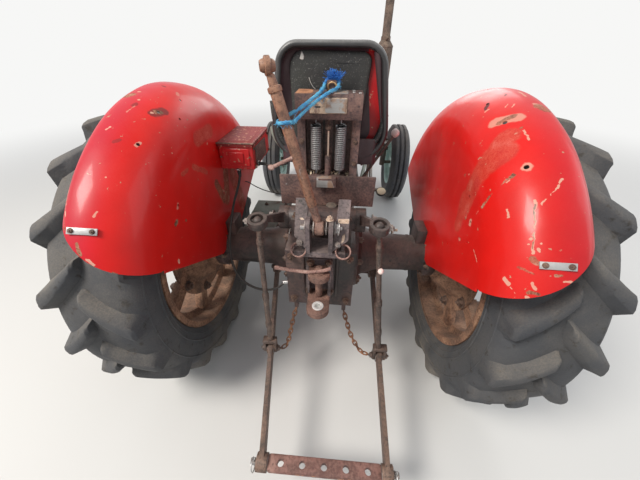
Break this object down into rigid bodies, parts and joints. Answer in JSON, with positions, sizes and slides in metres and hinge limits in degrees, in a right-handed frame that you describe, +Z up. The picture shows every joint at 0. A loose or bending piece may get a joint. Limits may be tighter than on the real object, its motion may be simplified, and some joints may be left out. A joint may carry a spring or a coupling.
{
  "type": "vintage farm tractor",
  "caption": "Small vintage farm tractor with shell fenders, sprung bucket seat, steered front wheels and a three-point linkage with drawbar.",
  "frame": {"origin": "on the ground under the middle of the whole machine", "axes": "+Y to the tractor's front, +Z up, +X to its right"},
  "size_m": [1.61, 2.9614, 1.88],
  "materials": {
    "red_paint": "faded red paint with chips and bare patches",
    "axle_iron": "oily dark castings with dust and rust",
    "engine_iron": "grey castings with oil and dust",
    "steering_steel": "dark greasy steel",
    "front_rim_paint": "pale green-blue paint",
    "rear_rim_rust": "rusted brown steel",
    "tyre_rubber": "worn dusty rubber",
    "radiator_metal": "dull grey-black core and tanks",
    "lamp_metal": "dull bright lamp shells",
    "plate_steel": "worn grey-green paint",
    "black_plastic": "aged black moulding",
    "exhaust_rust": "brown heat-stained rust",
    "seat_shell_paint": "black paint worn grey, red behind",
    "seat_vinyl": "black vinyl cloth",
    "frame_rust": "brown rust over old paint",
    "spring_steel": "dull grey spring steel",
    "linkage_rust": "brown rust polished at the pins",
    "chain_rust": "orange-brown rust",
    "cable_rubber": "black rubber, dusty",
    "blue_twine": "frayed light blue baler twine"
  },
  "bodies": {
    "chassis": {"centre_housing": "axle_iron", "axle_trumpets": "axle_iron", "transmission": "axle_iron", "engine": "engine_iron", "front_support": "engine_iron", "front_axle_beam": "engine_iron", "radius_rods": "engine_iron", "fender_left": "red_paint", "fender_right": "red_paint", "footplate": "plate_steel", "bonnet": "red_paint", "nose": "red_paint", "radiator": "radiator_metal", "dash": "red_paint", "headlamps": "lamp_metal", "steering_column": "engine_iron", "exhaust": "exhaust_rust", "pedals": "plate_steel", "levers": "plate_steel", "seat_shell": "seat_shell_paint", "seat_pad": "seat_vinyl", "seat_frame": "frame_rust", "seat_springs": "spring_steel", "hitch_bracket": "frame_rust", "hitch_clevis": "linkage_rust", "hitch_pin": "linkage_rust", "top_link": "linkage_rust", "check_chains": "chain_rust", "lamp_box": "red_paint", "cable_lamp": "cable_rubber", "cable_seat": "cable_rubber", "wire": "cable_rubber", "twine": "blue_twine"},
    "knuckle_left": {"knuckle_left": "steering_steel"},
    "knuckle_right": {"knuckle_right": "steering_steel"},
    "front_wheel_left": {"front_rim_left": "front_rim_paint", "front_tyre_left": "tyre_rubber"},
    "front_wheel_right": {"front_rim_right": "front_rim_paint", "front_tyre_right": "tyre_rubber"},
    "rear_wheel_left": {"rear_rim_left": "rear_rim_rust", "rear_tyre_left": "tyre_rubber"},
    "rear_wheel_right": {"rear_rim_right": "rear_rim_rust", "rear_tyre_right": "tyre_rubber"},
    "tie_rod": {"tie_rod": "steering_steel"},
    "drag_link": {"drag_link": "steering_steel"},
    "drop_arm": {"drop_arm": "steering_steel"},
    "steering_wheel": {"steering_wheel": "black_plastic"},
    "lower_links": {"lower_links": "linkage_rust", "drawbar": "linkage_rust"},
    "lift_arms": {"lift_arms": "linkage_rust"},
    "lift_rods": {"lift_rods": "linkage_rust"}
  },
  "joints": [
    {"name": "rear_wheel_left_spin", "type": "hinge", "parent": "chassis", "child": "rear_wheel_left", "pos_m": [-0.665, -0.71575, 0.6], "axis": [1, 0, 0], "continuous": true},
    {"name": "rear_wheel_right_spin", "type": "hinge", "parent": "chassis", "child": "rear_wheel_right", "pos_m": [0.665, -0.71575, 0.6], "axis": [1, 0, 0], "continuous": true},
    {"name": "steer_left", "type": "hinge", "parent": "chassis", "child": "knuckle_left", "pos_m": [-0.495, 1.11325, 0.5803], "axis": [0, 0, 1], "range_deg": [-35, 35]},
    {"name": "front_wheel_left_spin", "type": "hinge", "parent": "knuckle_left", "child": "front_wheel_left", "pos_m": [-0.62, 1.11325, 0.3675], "axis": [1, 0, 0], "continuous": true},
    {"name": "steer_right", "type": "hinge", "parent": "chassis", "child": "knuckle_right", "pos_m": [0.495, 1.11325, 0.5803], "axis": [0, 0, 1], "range_deg": [-35, 35]},
    {"name": "front_wheel_right_spin", "type": "hinge", "parent": "knuckle_right", "child": "front_wheel_right", "pos_m": [0.62, 1.11325, 0.3675], "axis": [1, 0, 0], "continuous": true},
    {"name": "tie_rod_swing", "type": "hinge", "parent": "knuckle_left", "child": "tie_rod", "pos_m": [-0.495, 0.97325, 0.5803], "axis": [0, 0, 1], "range_deg": [-35, 35]},
    {"name": "drag_link_swing", "type": "hinge", "parent": "knuckle_right", "child": "drag_link", "pos_m": [0.355, 1.11325, 0.6203], "axis": [0, 0, 1], "range_deg": [-35, 35]},
    {"name": "drop_arm_swing", "type": "hinge", "parent": "chassis", "child": "drop_arm", "pos_m": [0.24, 0.04425, 0.8303], "axis": [1, 0, 0], "range_deg": [-30, 30]},
    {"name": "steering_wheel_turn", "type": "hinge", "parent": "chassis", "child": "steering_wheel", "pos_m": [0, -0.17575, 1.21403], "axis": [0, -0.5, 0.866], "range_deg": [-420, 420]},
    {"name": "linkage_lift", "type": "hinge", "parent": "chassis", "child": "lower_links", "pos_m": [0, -0.68575, 0.44], "axis": [-1, 0, 0], "range_deg": [-5, 18]},
    {"name": "lift_arm_swing", "type": "hinge", "parent": "chassis", "child": "lift_arms", "pos_m": [0, -0.89375, 0.875], "axis": [-1, 0, 0], "range_deg": [-12, 42]},
    {"name": "lift_rod_swing", "type": "hinge", "parent": "lift_arms", "child": "lift_rods", "pos_m": [0, -1.10042, 0.98259], "axis": [-1, 0, 0], "range_deg": [-31, 9]}
  ],
  "couplings": [
    {"joint": "steer_right", "follows": "steer_left", "ratio": 1},
    {"joint": "tie_rod_swing", "follows": "steer_left", "ratio": -1},
    {"joint": "drag_link_swing", "follows": "steer_left", "ratio": -1},
    {"joint": "drop_arm_swing", "follows": "steer_left", "ratio": -0.655},
    {"joint": "steering_wheel_turn", "follows": "steer_left", "ratio": 12},
    {"joint": "lift_arm_swing", "follows": "linkage_lift", "ratio": 2.3323},
    {"joint": "lift_rod_swing", "follows": "linkage_lift", "ratio": -1.6931}
  ]
}
